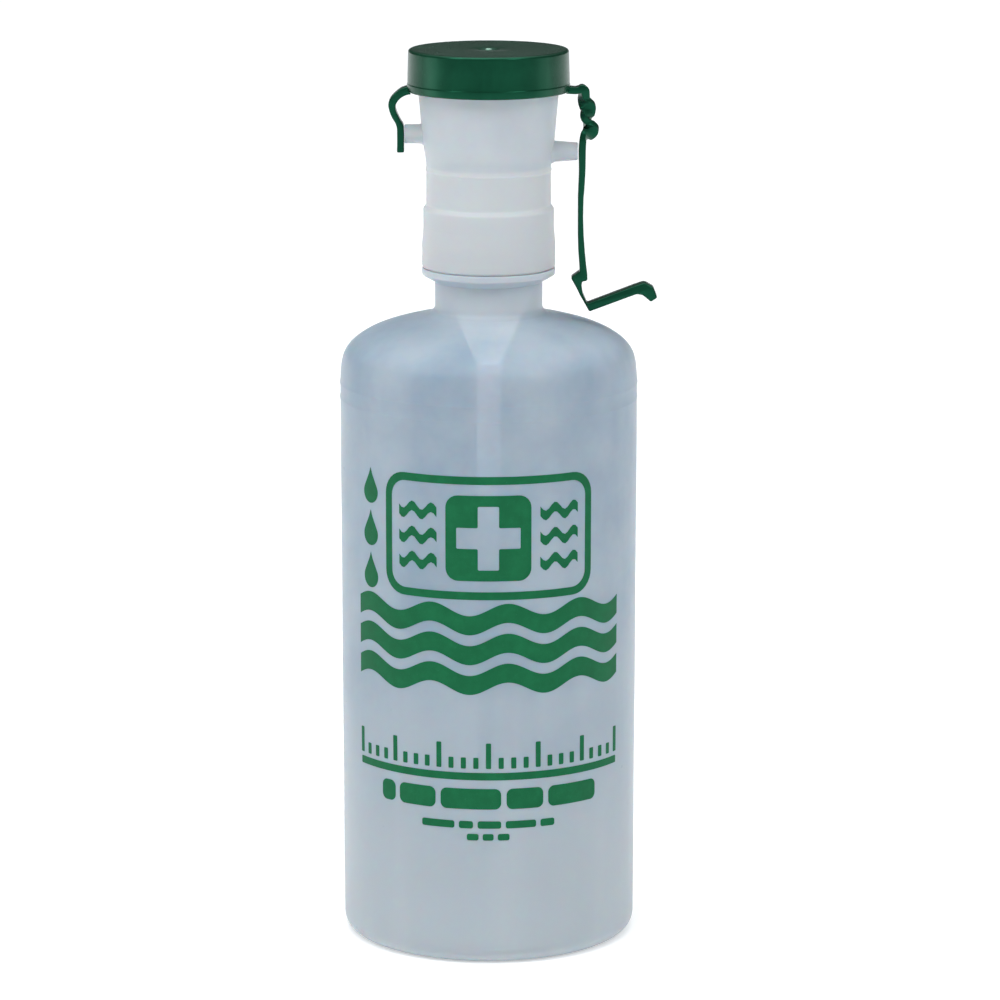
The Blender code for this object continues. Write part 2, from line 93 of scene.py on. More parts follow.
# Bottle, in mm
BODY_TOP_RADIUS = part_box("bottle")[1].x / MM - 0.16
BODY_FOOT_RADIUS = BODY_TOP_RADIUS - 0.3
BODY_TOP_HEIGHT = 134.0
WALL = 1.1
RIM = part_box("bottle")[1].z / MM
SHOULDER = (  # radius from the body's, height
    (0.0, 135.6),
    (-0.10, 137.3),
    (-0.35, 139.6),
    (-1.0, 141.85),
    (-2.3, 143.75),
    (-4.3, 145.45),
    (-7.1, 147.05),
    (-10.6, 148.4),
    (-15.1, 149.65),
    (-19.6, 150.65),
)
RIDGES = (131.2, 134.8)  # faint mould rings round the body
WAVE_RISE = 0.065
SEAM_RISE = 0.055
SEAM_HALF_WIDTH = 0.2

# Thread, in mm
PITCH = 4.233
THREAD_TURNS = 1.2
THREAD_FADE = 0.12  # turns over which each end dies away
THREAD_STEPS = 72  # a turn
NECK_THREAD_START = 165.1
SKIRT_THREAD_START = 164.1

# Spray disc, in mm
SPRAY_RINGS = ((0.0, 1), (3.3, 6), (6.4, 12), (9.2, 16))  # radius, holes
SPRAY_HOLE_RADIUS = 0.6

# Drain tubes, in mm
DRAIN_LEFT_HEIGHT = 194.05
DRAIN_RIGHT_HEIGHT = 189.9
DRAIN_BORE = 1.35

# Print, in mm
INK_THICKNESS = 0.035
INK_GAP = 0.008

# Arms and strap, in mm
STRAP_HALF_WIDTH = 2.15
STRAP_EDGE = 0.3
NEAR = 1e-4  # closer than this, two points are one


# ---------------------------------------------------------------- materials


class Nodes:
    """A short way to write a node material, new by name or added to an old one."""

    def __init__(self, name=None, material=None):
        self.material = material or bpy.data.materials.new(name)
        self.material.use_nodes = True
        self.tree = self.material.node_tree
        self.shader = self.tree.nodes["Principled BSDF"]
        self.place = self.add("ShaderNodeTexCoord").outputs["Object"]

    def add(self, kind, **settings):
        node = self.tree.nodes.new(kind)
        for key, value in settings.items():
            setattr(node, key, value)
        return node

    def link(self, out, into):
        self.tree.links.new(out, into)

    def noise(self, scale, detail=3.0, roughness=0.5, stretch=None):
        """Noise at scale cells a metre, stretched by a factor along each axis."""
        node = self.add("ShaderNodeTexNoise")
        node.inputs["Scale"].default_value = scale
        node.inputs["Detail"].default_value = detail
        node.inputs["Roughness"].default_value = roughness
        place = self.place
        if stretch:
            mapping = self.add("ShaderNodeMapping")
            mapping.inputs["Scale"].default_value = stretch
            self.link(place, mapping.inputs["Vector"])
            place = mapping.outputs["Vector"]
        self.link(place, node.inputs["Vector"])
        return node.outputs["Fac"]

    def ramp(self, factor, low, high):
        """Spreads a factor from low..high to 0..1."""
        node = self.add("ShaderNodeMapRange", interpolation_type="SMOOTHSTEP")
        node.inputs["From Min"].default_value = low
        node.inputs["From Max"].default_value = high
        self.link(factor, node.inputs["Value"])
        return node.outputs["Result"]

    def between(self, factor, low, high):
        """A value from low to high."""
        node = self.add("ShaderNodeMapRange")
        node.inputs["To Min"].default_value = low
        node.inputs["To Max"].default_value = high
        self.link(factor, node.inputs["Value"])
        return node.outputs["Result"]

    def mix(self, factor, first, second):
        """A colour between two; each is a colour or an output."""
        node = self.add("ShaderNodeMix", data_type="RGBA")
        self.link(factor, node.inputs[0])
        for socket, value in ((node.inputs[6], first), (node.inputs[7], second)):
            if isinstance(value, tuple):
                socket.default_value = (*value, 1.0)
            else:
                self.link(value, socket)
        return node.outputs[2]

    def height(self):
        split = self.add("ShaderNodeSeparateXYZ")
        self.link(self.place, split.inputs[0])
        return split.outputs["Z"]

    def bump(self, heights):
        """Chains bumps, each (height output, distance in metres, strength)."""
        normal = None
        for height, distance, strength in heights:
            node = self.add("ShaderNodeBump")
            node.inputs["Distance"].default_value = distance
            node.inputs["Strength"].default_value = strength
            self.link(height, node.inputs["Height"])
            if normal:
                self.link(normal, node.inputs["Normal"])
            normal = node.outputs["Normal"]
        self.link(normal, self.shader.inputs["Normal"])

    def set(self, **values):
        """Sets sockets by name; underscores stand for spaces."""
        for key, value in values.items():
            self.shader.inputs[key.replace("_", " ")].default_value = value


def translucent_plastic(name, low, high, alpha, roughness, tints=(), soak_depth=0.004):
    """Cloudy natural plastic that light soaks through, with its colour between low and high.

    Each tint is (colour, height where it starts, height where it is full), in metres.
    """
    n = Nodes(name)
    cloud = n.noise(34, 4, 0.6)
    streak = n.noise(60, 3, 0.5, (1, 1, 0.12))
    colour = n.mix(n.ramp(cloud, 0.3, 0.7), low, high)
    for tint, start, full in tints:
        colour = n.mix(n.ramp(n.height(), start, full), colour, tint)
    colour = n.mix(n.between(n.ramp(streak, 0.40, 0.75), 0.0, 0.06), colour, (1.0, 1.0, 1.0))
    n.link(colour, n.shader.inputs["Base Color"])
    gloss = n.between(n.noise(420, 3), roughness - 0.06, roughness + 0.08)
    n.link(gloss, n.shader.inputs["Roughness"])
    n.bump([(n.noise(95, 2, 0.4), 0.0006, 0.10), (n.noise(2600, 2), 0.00003, 0.25)])
    n.set(Alpha=alpha, IOR=1.45, Specular_IOR_Level=0.18)
    n.set(Subsurface_Weight=0.6, Subsurface_Scale=soak_depth)
    return n.material


def painted_glow(material, colour, strength, start, full):
    """Paints a glow, as emission, on a hidden piece; it stands in for the light that reaches it
    through the cloudy walls.

    It grows from nothing at the height start to its full strength at the height full, in metres.
    """
    n = Nodes(material=material)
    # painted glow: emission, ramped by height
    glow = n.mix(n.ramp(n.height(), start, full), (0.0, 0.0, 0.0), colour)
    n.link(glow, n.shader.inputs["Emission Color"])
    n.set(Emission_Strength=strength)


def green_plastic(name):
    """Dark green moulded polyethylene: flow marks, scuffs, and a pale spot on the axis that is a
    whitened gate mark and also a painted highlight, the glint on the gate pip.
    """
    n = Nodes(name)
    cloud = n.noise(120, 4, 0.55)
    flow = n.noise(170, 3, 0.5, (1, 1, 0.25))
    scuff = n.noise(1500, 4, 0.7, (1, 0.35, 1))
    colour = n.mix(n.ramp(cloud, 0.3, 0.75), (0.0028, 0.025, 0.0125), (0.0040, 0.036, 0.018))
    colour = n.mix(n.ramp(flow, 0.52, 0.85), colour, (0.0048, 0.046, 0.023))
    colour = n.mix(n.between(n.ramp(scuff, 0.66, 0.8), 0.0, 0.2), colour, (0.025, 0.10, 0.065))
    off_axis = n.add("ShaderNodeVectorMath", operation="LENGTH")
    flat = n.add("ShaderNodeVectorMath", operation="MULTIPLY")
    flat.inputs[1].default_value = (1, 1, 0)
    n.link(n.place, flat.inputs[0])
    n.link(flat.outputs["Vector"], off_axis.inputs[0])
    # pale spot within about 0.9 mm of the axis: a whitened gate mark, painted pale enough to also
    # stand for the pip's glint as a painted highlight
    colour = n.mix(n.ramp(off_axis.outputs["Value"], 0.0009, 0.0005), colour, (0.42, 0.62, 0.52))
    n.link(colour, n.shader.inputs["Base Color"])
    n.link(n.between(n.noise(700, 4, 0.6), 0.19, 0.31), n.shader.inputs["Roughness"])
    n.bump([(n.noise(260, 3), 0.0002, 0.12), (n.noise(5200, 2), 0.00002, 0.3)])
    n.set(IOR=1.5, Specular_IOR_Level=0.42, Specular_Tint=(0.14, 1.0, 0.58, 1.0))
    return n.material


def white_plastic(name):
    """Milky white insert plastic."""
    n = Nodes(name)
    cloud = n.noise(90, 3)
    colour = n.mix(n.ramp(cloud, 0.3, 0.7), (0.70, 0.745, 0.775), (0.80, 0.835, 0.855))
    n.link(colour, n.shader.inputs["Base Color"])
    n.link(n.between(n.noise(800, 3), 0.36, 0.50), n.shader.inputs["Roughness"])
    n.bump([(n.noise(400, 3), 0.0001, 0.15), (n.noise(5000, 2), 0.00002, 0.25)])
    n.set(IOR=1.5)
    return n.material


def foam(name):
    """White foamed polyethylene with its closed cells."""
    n = Nodes(name)
    cells = n.add("ShaderNodeTexVoronoi")
    cells.inputs["Scale"].default_value = 3800
    n.link(n.place, cells.inputs["Vector"])
    colour = n.mix(cells.outputs["Distance"], (0.74, 0.74, 0.71), (0.60, 0.60, 0.58))
    n.link(colour, n.shader.inputs["Base Color"])
    n.link(n.between(n.noise(900, 2), 0.70, 0.85), n.shader.inputs["Roughness"])
    n.bump([(cells.outputs["Distance"], 0.0001, 0.5)])
    return n.material


def ink(name):
    """Screen-printed green ink: uneven cover and a soft satin film."""
    n = Nodes(name)
    patch = n.noise(240, 5, 0.65)
    grain = n.noise(2800, 3, 0.7)
    colour = n.mix(n.ramp(patch, 0.3, 0.8), (0.006, 0.100, 0.038), (0.009, 0.130, 0.050))
    colour = n.mix(n.between(n.ramp(grain, 0.60, 0.80), 0.0, 0.3), colour, (0.06, 0.24, 0.15))
    n.link(colour, n.shader.inputs["Base Color"])
    n.link(n.between(patch, 0.40, 0.62), n.shader.inputs["Roughness"])
    n.bump([(grain, 0.00002, 0.4)])
    n.set(IOR=1.45, Specular_IOR_Level=0.2, Specular_Tint=(0.5, 1.0, 0.75, 1.0))
    return n.material


def pale_floor(name):
    """A plain pale studio floor, with a barely seen mottle."""
    n = Nodes(name)
    colour = n.mix(n.noise(5, 3), (0.735, 0.74, 0.745), (0.76, 0.76, 0.76))
    n.link(colour, n.shader.inputs["Base Color"])
    n.set(Roughness=0.8, Specular_IOR_Level=0.1)
    n.set(Emission_Color=(1, 1, 1, 1), Emission_Strength=0.36)
    return n.material


# ---------------------------------------------------------------- mesh helpers


def rounded(corners):
    """A closed outline with its corners rounded; each corner is (radius, height, fillet) in mm."""
    points = []
    for i, (x, z, fillet) in enumerate(corners):
        here = Vector((x, z))
        before = Vector(corners[i - 1][:2]) - here
        after = Vector(corners[(i + 1) % len(corners)][:2]) - here
        opening = before.angle(after)
        if fillet <= 0 or opening > math.radians(179):
            points.append(here)
            continue
        reach = min(fillet / math.tan(opening / 2), 0.49 * before.length, 0.49 * after.length)
        radius = reach * math.tan(opening / 2)
        inward = (before.normalized() + after.normalized()).normalized()
        centre = here + inward * (radius / math.sin(opening / 2))
        start = here + before.normalized() * reach - centre
        end = here + after.normalized() * reach - centre
        first = math.atan2(start.y, start.x)
        sweep = (math.atan2(end.y, end.x) - first + math.pi) % TURN - math.pi
        steps = max(2, math.ceil(abs(sweep) / FILLET_STEP))
        for k in range(steps + 1):
            angle = first + sweep * k / steps
            points.append(centre + radius * Vector((math.cos(angle), math.sin(angle))))
    return points


def smooth_run(stations, per_span=7):
    """A Catmull-Rom run through stations, which are tuples of numbers."""
    run = []
    last = len(stations) - 1
    for i in range(last):
        quad = [Vector(stations[min(max(k, 0), last)]) for k in (i - 1, i, i + 1, i + 2)]
        for k in range(per_span):
            t = k / per_span
            point = quad[1] * 2 + (quad[2] - quad[0]) * t
            point += (quad[0] * 2 - quad[1] * 5 + quad[2] * 4 - quad[3]) * t**2
            point += (quad[1] * 3 - quad[0] - quad[2] * 3 + quad[3]) * t**3
            run.append(point / 2)
    run.append(Vector(stations[-1]))
    return run


def finely(points, longest):
    """Splits an outline's sides so that none is longer than longest mm."""
    fine = []
    for here, there in zip(points, points[1:] + points[:1]):
        parts = max(1, math.ceil((there - here).length / longest))
        fine += [here.lerp(there, k / parts) for k in range(parts)]
    return fine


def skin(bm, rings, closed):
    """Joins rings of vertices in order; a ring of one vertex is a point."""
    follow = rings[1:] + rings[:1] if closed else rings[1:]
    for here, there in zip(rings, follow):
        count = max(len(here), len(there))
        if count == 1:
            continue
        for i in range(count):
            j = (i + 1) % count
            corners = [here[i % len(here)], here[j % len(here)]]
            corners += [there[j % len(there)], there[i % len(there)]]
            bm.faces.new(list(dict.fromkeys(corners)))


def even_columns(count):
    """Angles round a turned piece, in radians."""
    return [TURN * i / count for i in range(count)]


def turned(points, columns, swell=None):
    """Turns a closed outline about Z. swell(radius, angle, height) gives each point's radius."""
    bm = bmesh.new()
    rings = []
    for x, z in points:
        if x < ON_AXIS:
            rings.append([bm.verts.new((0, 0, z * MM))])
            continue
        ring = []
        for angle in columns:
            radius = swell(x, angle, z) if swell else x
            spot = (radius * math.cos(angle), radius * math.sin(angle), z)
            ring.append(bm.verts.new(Vector(spot) * MM))
        rings.append(ring)
    skin(bm, rings, closed=True)
    return bm


def mesh_object(name, bm, material=None, sharp=SHARP):
    """Makes a smooth-shaded object of a closed bmesh."""
    bmesh.ops.recalc_face_normals(bm, faces=bm.faces)
    mesh = bpy.data.meshes.new(name)
    bm.to_mesh(mesh)
    bm.free()
    mesh.shade_smooth()
    mesh.set_sharp_from_angle(angle=math.radians(sharp))
    obj = bpy.data.objects.new(name, mesh)
    bpy.context.scene.collection.objects.link(obj)
    if material:
        mesh.materials.append(material)
    return obj


def combined(obj, joined=(), cut=()):
    """Adds some shapes to an object and cuts others from it, then drops the shapes."""
    for operation, shapes in (("UNION", joined), ("DIFFERENCE", cut)):
        for shape in shapes:
            modifier = obj.modifiers.new(shape.name, "BOOLEAN")
            modifier.object = shape
            modifier.operation = operation
            modifier.solver = "EXACT"
    graph = bpy.context.evaluated_depsgraph_get()
    graph.update()
    mesh = bpy.data.meshes.new_from_object(obj.evaluated_get(graph))
    obj.modifiers.clear()
    obj.data = mesh
    mesh.shade_smooth()
    mesh.set_sharp_from_angle(angle=math.radians(SHARP))
    for shape in (*joined, *cut):
        bpy.data.objects.remove(shape)


def line_inside(obj, material):
    """Gives the faces that look at the axis, and the floor inside, a second material."""
    obj.data.materials.append(material)
    for face in obj.data.polygons:
        outward = Vector((face.center.x, face.center.y, 0)).normalized()
        looks_in = face.normal.dot(outward) < -0.05
        is_floor = face.center.z < 3 * MM and face.normal.z > 0.5
        if looks_in or is_floor:
            face.material_index = 1


def shown(obj, body, slot, *nodes):
    """The piece rides on a body and stands for its CAD nodes, which it hides; slot is not used."""
    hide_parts(*nodes)
    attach(obj, body)


def helix(name, wall, crest, start, start_turn, root_width, crest_width):
    """A right-hand thread ridge sunk into its wall, faded at both ends. Sizes in mm."""
    bm = bmesh.new()
    sunk = wall - math.copysign(0.5, crest - wall)
    steps = round(THREAD_TURNS * THREAD_STEPS)
    rings = []
    for i in range(steps + 1):
        turn = i / THREAD_STEPS
        rise = max(0.06, min(1.0, min(turn, THREAD_TURNS - turn) / THREAD_FADE))
        rise = math.sin(rise * math.pi / 2)
        tip = wall + (crest - wall) * rise
        near_tip = wall + (crest - wall) * rise * 0.86
        half_root, half_tip = root_width / 2, crest_width / 2
        section = (
            (sunk, -half_root),
            (near_tip, -half_tip - 0.08),
            (tip, -half_tip + 0.12),
            (tip, half_tip - 0.12),
            (near_tip, half_tip + 0.08),
            (sunk, half_root),
        )
        angle = TURN * (start_turn + turn)
        height = start + PITCH * turn
        ring = []
        for radius, across in section:
            spot = (radius * math.cos(angle), radius * math.sin(angle), height + across)
            ring.append(bm.verts.new(Vector(spot) * MM))
        rings.append(ring)
    skin(bm, rings, closed=False)
    bm.faces.new(rings[0])
    bm.faces.new(rings[-1])
    return mesh_object(name, bm)


def side_turned(name, profile, height, steps=40):
    """A solid turned about a line along X at a height; profile is (x, radius) pairs in mm."""
    bm = bmesh.new()
    rings = []
    for x, radius in profile:
        ring = []
        for angle in even_columns(steps):
            spot = (x, radius * math.cos(angle), height + radius * math.sin(angle))
            ring.append(bm.verts.new(Vector(spot) * MM))
        rings.append(ring)
    skin(bm, rings, closed=False)
    bm.faces.new(rings[0])
    bm.faces.new(rings[-1])
    return mesh_object(name, bm)


# ---------------------------------------------------------------- bottle


def blown(radius, angle, height):
    """The blown wall: a faint waviness on the body, and a parting line down both sides.

    Both fade out towards the standing face and the shoulder.
    """
    around = Vector((math.cos(angle), math.sin(angle), 0))
    wave = noise.noise(around * 1.7 + Vector((0, 0, height / 27)))
    fade = min(1.0, max(0.0, (height - 5) / 12)) * min(1.0, max(0.0, (133 - height) / 10))
    on_wall = 1.0 if radius > 15.8 or height > 150 else 0.0
    off_seam = abs(math.sin(angle)) * radius
    seam = SEAM_RISE * math.exp(-((off_seam / SEAM_HALF_WIDTH) ** 2))
    return radius + on_wall * fade * (WAVE_RISE * wave + seam)


def bottle_columns():
    """Even columns, with finer ones where the parting line runs."""
    columns = set(even_columns(ROUND_STEPS))
    for side in (0.0, math.pi):
        for off in (-0.45, -0.25, -0.12, 0.12, 0.25, 0.45):
            columns.add((side + off / BODY_TOP_RADIUS) % TURN)
    return sorted(columns)


def wall_radius(height):
    """The body's outside radius at a height, in mm, before its waviness."""
    share = min(1.0, max(0.0, height / BODY_TOP_HEIGHT))
    return BODY_FOOT_RADIUS + (BODY_TOP_RADIUS - BODY_FOOT_RADIUS) * share


def bottle_outline():
    """Outside from the middle of the base to the rim, then the inside back down."""
    foot = BODY_FOOT_RADIUS
    shoulder = smooth_run([(BODY_TOP_RADIUS + dx, z) for dx, z in SHOULDER], 3)
    outside = [
        (0, 0, 0),
        (23.5, 0, 0.2),
        (24.0, 0.35, 0.3),
        (27.0, 0.35, 0.3),
        (27.5, 0, 0.3),
        (foot, 0, 4.5),
        (wall_radius(20), 20, 0),
    ]
    for ridge in RIDGES:
        radius = wall_radius(ridge)
        outside += [(radius, ridge - 0.8, 0), (radius + 0.10, ridge - 0.25, 0)]
        outside += [(radius + 0.13, ridge, 0), (radius + 0.10, ridge + 0.25, 0)]
        if ridge < RIDGES[-1]:
            outside.append((radius, ridge + 0.8, 0))
    outside += [(x, z, 0) for x, z in shoulder]
    outside += [
        (14.0, 151.3, 1.2),
        (12.8, 152.5, 1.4),
        (12.8, 159.0, 0.3),
        (15.82, 160.75, 0.35),
        (15.82, 162.3, 0.3),
        (12.55, 162.3, 0.25),
        (12.55, RIM, 0.35),
    ]
    inside = [
        (10.9, RIM, 0.35),
        (10.9, 151.6, 1.5),
        (13.2, 150.1, 1.5),
    ]
    inner = [(BODY_TOP_RADIUS + dx - WALL, z - 0.9) for dx, z in SHOULDER[:-1]]
    inside += [(x, z, 0) for x, z in reversed(smooth_run(inner, 2))]
    inside += [
        (foot - WALL, WALL, 3.4),
        (0, WALL, 0),
    ]
    return finely(rounded(outside + inside), LONGEST_SIDE)


def make_bottle(material, inside):
    shell = turned(bottle_outline(), bottle_columns(), blown)
    bottle = mesh_object("bottle_shell", shell, material)
    ridge = helix("neck_ridge", 12.55, 13.6, NECK_THREAD_START, 0.0, 2.2, 1.1)
    combined(bottle, joined=[ridge])
    line_inside(bottle, inside)
    shown(bottle, "bottle", "soft_bottle", "bottle")


# ---------------------------------------------------------------- nozzle


def make_nozzle(white, tube_plastic, gasket_foam):
    """The insert, its perforated disc, the neck gasket and the dip tube."""
    insert = [
        (11.9, 185.8, 0.3),
        (11.9, 182.9, 0.1),
        (11.0, 182.9, 0.2),
        (11.0, 176.0, 1.0),
        (9.4, 174.2, 1.0),
        (9.4, 157.3, 3.0),
        (2.1, 141.2, 1.0),
        (1.1, 139.6, 0.4),
        (1.1, 129.0, 0.1),
        (1.6, 129.0, 0.15),
        (1.95, 130.2, 0.3),
        (1.95, 139.5, 0.1),
        (3.2, 139.5, 0.4),
        (10.5, 157.0, 3.0),
        (10.5, 174.6, 0.2),
        (13.7, 174.6, 0.3),
        (13.7, 175.8, 0.3),
        (13.0, 175.8, 0.15),
        (13.0, 178.6, 0.1),
        (13.12, 178.8, 0.1),
        (13.12, 179.4, 0.1),
        (13.0, 179.6, 0.1),
        (13.0, 185.8, 0.5),
    ]
    body = turned(rounded(insert), even_columns(SMALL_STEPS))
    body = mesh_object("nozzle_moulding", body, white)
    shown(body, "nozzle", "white_insert", "nozzle_insert")

    disc_outline = [
        (0, 183.2, 0),
        (11.6, 183.2, 0.2),
        (11.6, 184.6, 0.3),
        (10.9, 184.6, 0.2),
        (10.6, 184.35, 0.2),
        (0, 184.7, 0),
    ]
    plate = turned(rounded(disc_outline), even_columns(SMALL_STEPS))
    disc = mesh_object("spray_plate", plate, white)
    holes = bmesh.new()
    for radius, count in SPRAY_RINGS:
        for i in range(count):
            angle = TURN * (i + 0.5) / count
            spot = Vector((radius * math.cos(angle), radius * math.sin(angle), 184.0)) * MM
            bmesh.ops.create_cone(
                holes,
                cap_ends=True,
                segments=20,
                radius1=SPRAY_HOLE_RADIUS * MM,
                radius2=SPRAY_HOLE_RADIUS * MM,
                depth=3.0 * MM,
                matrix=Matrix.Translation(spot),
            )
    combined(disc, cut=[mesh_object("spray_holes", holes)])
    shown(disc, "nozzle", "white_insert", "spray_disc")

    ring = [(11.0, 173.3, 0.25), (13.3, 173.3, 0.25), (13.3, 174.3, 0.25), (11.0, 174.3, 0.25)]
    ring = turned(rounded(ring), even_columns(SMALL_STEPS))
    gasket = mesh_object("gasket_ring", ring, gasket_foam)
    shown(gasket, "nozzle", "gasket_foam", "neck_gasket")

    tube = [(2.25, 5.0, 0.1), (2.9, 5.0, 0.15), (2.9, 139.2, 0.15), (2.25, 139.2, 0.1)]
    tube = finely(rounded(tube), 12)
    pipe = mesh_object("suction_tube", turned(tube, even_columns(48)), tube_plastic)
    shown(pipe, "nozzle", "tube_plastic", "dip_tube")


# ---------------------------------------------------------------- eye cup


def cup_outline():
    """Outside from the skirt's foot to the rim, then the inside back down."""
    flare = [
        (14.9, 188.4, 3.0),
        (15.6, 192.6, 5.0),
        (16.48, 202.8, 20.0),
        (17.15, 210.6, 6.0),
    ]
    outside = [
        (14.35, 162.36, 0.2),
        (15.83, 162.36, 0.8),
        (15.83, 167.6, 6.0),
        (15.5, 172.0, 6.0),
        (15.50, 176.35, 0.7),
        (14.80, 177.35, 0.5),
        (14.76, 185.2, 0.3),
        (14.92, 185.5, 0.12),
        (14.92, 185.75, 0.15),
        (14.74, 186.5, 1.0),
        *flare,
        (17.1, 212.0, 0.5),
        (16.25, 212.0, 0.5),
    ]
    inside = [(radius - 1.25, height, fillet) for radius, height, fillet in reversed(flare)]
    inside += [
        (13.3, 186.6, 3.0),
        (13.3, 176.1, 0.2),
        (14.0, 176.1, 0.3),
        (14.0, 163.1, 0.3),
    ]
    return finely(rounded(outside + inside), LONGEST_SIDE)


def make_eye_cup(material, inside):
    cup = mesh_object("eye_cup_shell", turned(cup_outline(), even_columns(ROUND_STEPS)), material)
    start_turn = (SKIRT_THREAD_START - NECK_THREAD_START + 1.7) / PITCH
    ridge = helix("skirt_ridge", 14.0, 12.95, SKIRT_THREAD_START, start_turn, 1.9, 0.8)
    left = side_turned(
        "left_drain",
        [(-15.05, 2.7), (-15.5, 2.65), (-15.9, 2.38), (-16.5, 2.27), (-19.72, 2.25), (-19.88, 2.1)],
        DRAIN_LEFT_HEIGHT,
    )
    right = side_turned(
        "right_drain",
        [(14.6, 3.1), (15.2, 2.75), (15.7, 2.5), (16.6, 2.42), (20.94, 2.1), (21.08, 1.95)],
        DRAIN_RIGHT_HEIGHT,
    )
    left_profile = [(-12.5, DRAIN_BORE), (-19.2, DRAIN_BORE), (-20.5, 1.75)]
    right_profile = [(12.2, DRAIN_BORE), (20.8, DRAIN_BORE), (22.1, 1.7)]
    left_bore = side_turned("left_bore", left_profile, DRAIN_LEFT_HEIGHT, 28)
    right_bore = side_turned("right_bore", right_profile, DRAIN_RIGHT_HEIGHT, 28)
    combined(cup, joined=[ridge, left, right], cut=[left_bore, right_bore])
    line_inside(cup, inside)
    shown(cup, "eye_cup", "cup_plastic", "eye_cup")


# ---------------------------------------------------------------- cap, arms and strap


def make_cap(material):
    """The cap, with a gate mark in a small moat on top and a ring below that plugs the cup."""
    outline = [
        (0, 214.28, 0),
        (0.62, 214.22, 0.3),
        (0.95, 213.70, 0.15),
        (1.9, 213.65, 0.4),
        (2.7, 214.12, 0.5),
        (17.6, 214.2, 0.8),
        (18.98, 214.2, 0.75),
        (19.2, 206.3, 0.4),
        (19.3, 206.05, 0.3),
        (19.3, 204.3, 0.4),
        (17.7, 204.3, 0.35),
        (17.7, 212.8, 0.4),
        (15.3, 212.8, 0.3),
        (15.3, 208.9, 0.35),
        (14.4, 208.9, 0.35),
        (14.4, 212.8, 0.4),
        (0, 212.8, 0),
    ]
    outline = finely(rounded(outline), LONGEST_SIDE)
    cap = mesh_object("dust_cap_shell", turned(outline, even_columns(ROUND_STEPS)), material)
    shown(cap, "dust_cap", "green_plastic", "dust_cap")


def section(half, half_width):
    """A rounded rectangle, as (across, along Y) pairs in mm."""
    points = []
    for quarter in range(4):
        sign_across = (1, -1, -1, 1)[quarter]
        sign_width = (1, 1, -1, -1)[quarter]
        for k in range(5):
            angle = (quarter + k / 4) * math.pi / 2
            across = sign_across * (half - STRAP_EDGE) + STRAP_EDGE * math.cos(angle)
            wide = sign_width * (half_width - STRAP_EDGE) + STRAP_EDGE * math.sin(angle)
            points.append((across, wide))
    return points


def strip_rings(stations, per_span):
    """Rings of points along a strip.

    A station is (x, z, half thickness, half width, twist), in mm and degrees.
    """
    run = smooth_run(stations, per_span)
    rings = []
    for i, (x, z, half, wide, twist) in enumerate(run):
        before, after = run[max(i - 1, 0)], run[min(i + 1, len(run) - 1)]
        along = Vector((after[0] - before[0], after[1] - before[1])).normalized()
        across = Vector((-along.y, along.x))
        angle = math.radians(twist)
        ring = []
        for u, v in section(half, wide):
            turned_u = u * math.cos(angle) - v * math.sin(angle)
            turned_v = u * math.sin(angle) + v * math.cos(angle)
            spot = Vector((x, z)) + across * turned_u
            ring.append(Vector((spot.x, turned_v, spot.y)) * MM)
        rings.append(ring)
    return rings


def rounded_end(rings):
    """Adds two smaller rings past a strip's last one, which round it off."""
    last, before = rings[-1], rings[-2]
    middle = sum(last, Vector()) / len(last)
    along = (middle - sum(before, Vector()) / len(before)).normalized()
    for past, shrink in ((0.14 * MM, 0.96), (0.24 * MM, 0.84)):
        rings.append([middle + (point - middle) * shrink + along * past for point in last])


def strip(name, rings, material):
    """A closed piece through a strip's rings."""
    bm = bmesh.new()
    made = [[bm.verts.new(point) for point in ring] for ring in rings]
    skin(bm, made, closed=False)
    bm.faces.new(made[0])
    bm.faces.new(made[-1])
    return mesh_object(name, bm, material, STRIP_SHARP)


def slab(name, outline, ends, material):
    """A flat moulding as wide as the strap, cut to an (x, z) outline in mm, with rounded edges.

    Each end is a pair of corners; the side between them is left square, to meet the next piece.
    """
    points = finely(rounded(outline), 0.6)
    count = len(points)
    turning = sum(points[i - 1].cross(points[i]) for i in range(count))
    side = 1 if turning > 0 else -1
    inward = []
    for i in range(count):
        along = (points[(i + 1) % count] - points[i - 1]).normalized()
        inward.append(Vector((-along.y, along.x)) * side)
    for first, last in ends:
        first, last = Vector(first), Vector(last)
        for i, point in enumerate(points):
            to_first, to_last = (point - first).length, (point - last).length
            if to_first + to_last - (last - first).length < NEAR:
                at_corner = (to_first < NEAR) - (to_last < NEAR)
                inward[i] = (last - first).normalized() * at_corner
    levels = []
    for k in range(5):
        angle = k / 4 * math.pi / 2
        inset = STRAP_EDGE * (1 - math.cos(angle))
        levels.append((inset, STRAP_HALF_WIDTH - STRAP_EDGE * (1 - math.sin(angle))))
    levels = [(inset, -depth) for inset, depth in reversed(levels)] + levels
    bm = bmesh.new()
    rings = []
    for inset, depth in levels:
        moved = [p + n * inset for p, n in zip(points, inward)]
        rings.append([bm.verts.new(Vector((p.x, depth, p.y)) * MM) for p in moved])
    skin(bm, rings, closed=False)
    bm.faces.new(rings[0])
    bm.faces.new(rings[-1])
    return mesh_object(name, bm, material, STRIP_SHARP)


def bends(piece, upper, lower, start, end, *nodes):
    """Bakes the piece's place into its mesh and hides the CAD nodes it stands for."""
    if nodes:
        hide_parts(*nodes)
    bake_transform(piece)


